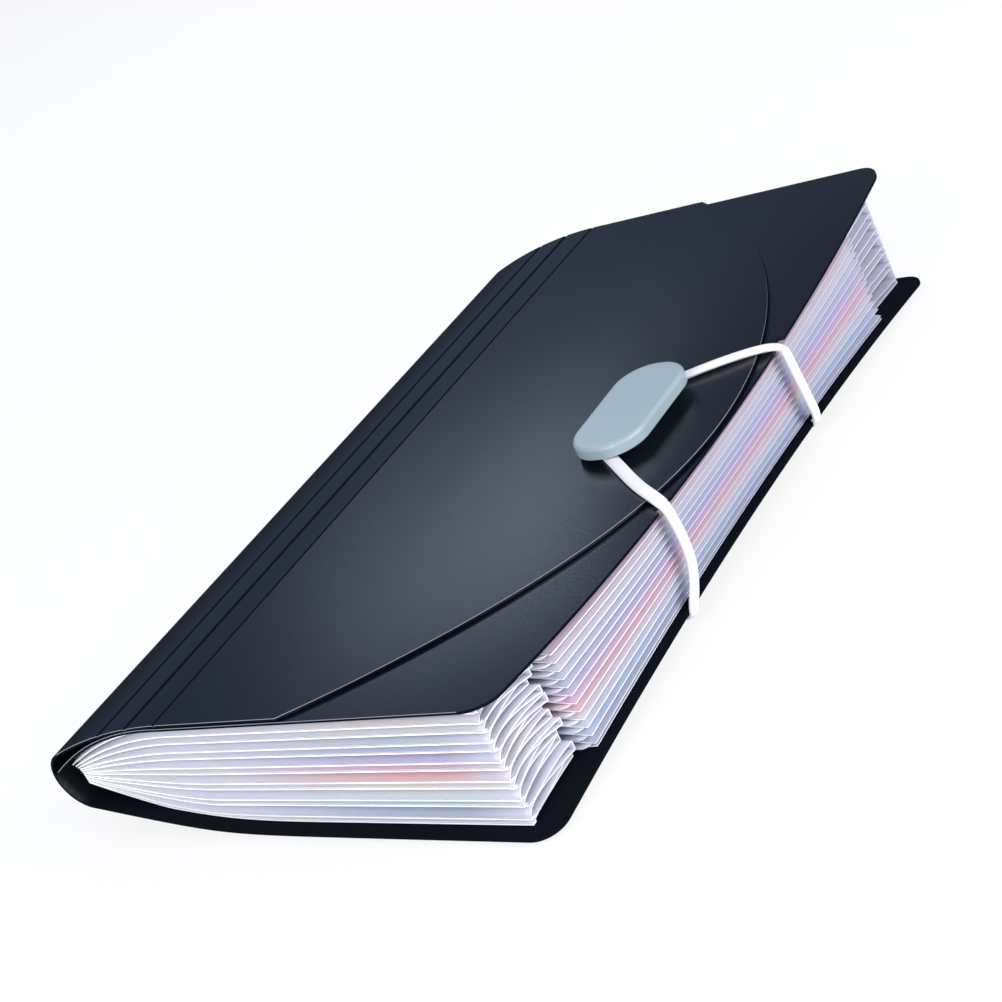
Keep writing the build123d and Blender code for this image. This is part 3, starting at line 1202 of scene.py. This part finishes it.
@dataclass
class Stage:
    """Pale floor, white surround, soft lamps and the camera at the photo's viewing angle."""

    focal_px: float = 2138.7
    image_px: float = 1002.0
    azimuth: float = 42.851
    elevation: float = 24.771
    roll: float = 26.913
    shift: tuple[float, float] = (7.42, -7.547)
    distance: float = 441.24
    sensor: float = 36.0
    clip_start: float = 0.01
    floor_reach: float = 4000.0
    floor_drop: float = 0.6
    floor_white: float = 0.82

    def build(self) -> None:
        """Set up the floor, world, lamps and camera."""
        self.floor()
        self.world()
        self.lamp("back", (-0.523, 0.541, 0.627), 0.25, 1.1, "#D7E9FF")
        self.lamp("right", (0.85, 0.05, 0.45), 0.7, 8.5)
        self.lamp("front", (0.05, -0.9, 0.4), 0.7, 7.0)
        self.camera()

    def floor(self) -> None:
        """Pale floor far wider than the view."""
        reach = np.array([-self.floor_reach, self.floor_reach])
        points = stacked(reach[:, None], reach[None, :], np.array([[-self.floor_drop]]))
        add_mesh("studio_floor", points, grid_faces(2, 2), [self.paper()])

    def paper(self) -> Material:
        """White paper floor, lit up for the camera so that only a light shadow stays on it.

        Returns:
            The material.
        """
        material, tree, output = new_material("studio_paper_rolled_matt")
        path = add_node(tree, "ShaderNodeLightPath")
        share = add_node(
            tree,
            "ShaderNodeMath",
            {0: path.outputs["Is Camera Ray"], 1: self.floor_white},
            operation="MULTIPLY",
        )
        # Gloss sees a dim floor, as it does a dim room, so the black nose stays dark
        seen = add_node(
            tree,
            "ShaderNodeMix",
            {0: path.outputs["Is Glossy Ray"], 6: linear("#F7F8FA"), 7: linear("#30343A")},
            data_type="RGBA",
        )
        matt = add_node(tree, "ShaderNodeBsdfDiffuse", {"Color": seen.outputs[2]})
        white = add_node(tree, "ShaderNodeEmission", {"Color": linear("#FFFFFF"), "Strength": 1.0})
        both = add_node(
            tree,
            "ShaderNodeMixShader",
            {0: share.outputs["Value"], 1: matt.outputs["BSDF"], 2: white.outputs["Emission"]},
        )
        tree.links.new(both.outputs["Shader"], output.inputs["Surface"])
        return material

    def world(self) -> None:
        """White surround for the camera and an even soft light for everything else."""
        world = bpy.data.worlds.new("studio_surround")
        world.use_nodes = True
        tree = world.node_tree
        tree.nodes.clear()
        path = add_node(tree, "ShaderNodeLightPath")
        dim = add_node(tree, "ShaderNodeBackground", {"Color": linear("#A6C3F2"), "Strength": 0.24})
        soft = add_node(tree, "ShaderNodeBackground", {"Color": linear("#E6EDFA"), "Strength": 0.6})
        white = add_node(tree, "ShaderNodeBackground", {"Color": linear("#FFFFFF"), "Strength": 1.0})
        # Gloss sees a dim room, so the black sheet stays dark away from the lamps
        lit = add_node(
            tree,
            "ShaderNodeMixShader",
            {
                0: path.outputs["Is Glossy Ray"],
                1: soft.outputs["Background"],
                2: dim.outputs["Background"],
            },
        )
        both = add_node(
            tree,
            "ShaderNodeMixShader",
            {0: path.outputs["Is Camera Ray"], 1: lit.outputs["Shader"], 2: white.outputs["Background"]},
        )
        output = add_node(tree, "ShaderNodeOutputWorld")
        tree.links.new(both.outputs["Shader"], output.inputs["Surface"])
        bpy.context.scene.world = world

    def lamp(
        self,
        name: str,
        place: tuple[float, float, float],
        size: float,
        power: float,
        colour: str = "#FFFFFF",
    ) -> None:
        """Square soft lamp that faces the file.

        Args:
            name: plain name of the lamp.
            place: its middle in metres.
            size: its side in metres.
            power: its power in watts.
            colour: colour of its light.
        """
        light = bpy.data.lights.new(name, "AREA")
        light.size = size
        light.energy = power
        light.color = linear(colour)[:3]
        lamp = bpy.data.objects.new(name, light)
        lamp.location = place
        lamp.rotation_euler = Vector(place).to_track_quat("Z", "Y").to_euler()
        bpy.context.scene.collection.objects.link(lamp)

    def camera(self) -> None:
        """Camera on the photo's line of sight, rolled as the photo is."""
        turn, tilt, roll = np.radians([self.azimuth, self.elevation, self.roll])
        right = np.array([np.cos(turn), np.sin(turn), 0])
        ahead = np.array([-np.sin(turn) * np.cos(tilt), np.cos(turn) * np.cos(tilt), -np.sin(tilt)])
        up = np.cross(right, ahead)
        right, up = np.cos(roll) * right - np.sin(roll) * up, np.sin(roll) * right + np.cos(roll) * up
        place = -self.shift[0] * right - self.shift[1] * up - self.distance * ahead
        lens = bpy.data.cameras.new("photo_camera")
        lens.sensor_width = self.sensor
        lens.lens = self.sensor * self.focal_px / self.image_px
        lens.clip_start = self.clip_start
        camera = bpy.data.objects.new("photo_camera", lens)
        turned = Matrix(np.stack([right, up, -ahead], axis=1).tolist()).to_4x4()
        camera.matrix_world = Matrix.Translation((place * MM).tolist()) @ turned
        bpy.context.scene.collection.objects.link(camera)
        bpy.context.scene.camera = camera


CARDS = (
    Card("lavender", "#B9B4DC", 0.4),
    Card("blue_grey", "#9FB1CC", 0.55),
    Card("light_blue", "#9CCBEA", 0.5),
    Card("mint", "#B4DCB6", 0.12),
    Card("cream", "#F0DDA2", 0.15),
    Card("salmon", "#F2A9A4", 0.5),
    Card("pink", "#EBA3C4", 0.45),
    Card("violet", "#AF93D2", 0.35),
    Card("steel_blue", "#8FA6CE", 0.3),
    Card("sea_grey", "#9DBDC4", 0.25),
    Card("lime", "#C9D160", 0.05),
    Card("tan", "#E3A35F", 0.1),
    Card("red", "#DD4F63", 0.2),
)


def main() -> None:
    """Build the file's pieces in order, log their face counts and set the stage."""
    logging.basicConfig(level=logging.INFO)
    sizes = FileSizes.from_frame()
    for group in (Cover(sizes), Accordion(sizes, CARDS), Closure(sizes)):
        for piece in group.build():
            log.info("%s: %d faces", piece.name, len(piece.data.polygons))
    Stage().build()
    bpy.context.scene.view_settings.view_transform = "Standard"


if __name__ == "__main__":
    main()
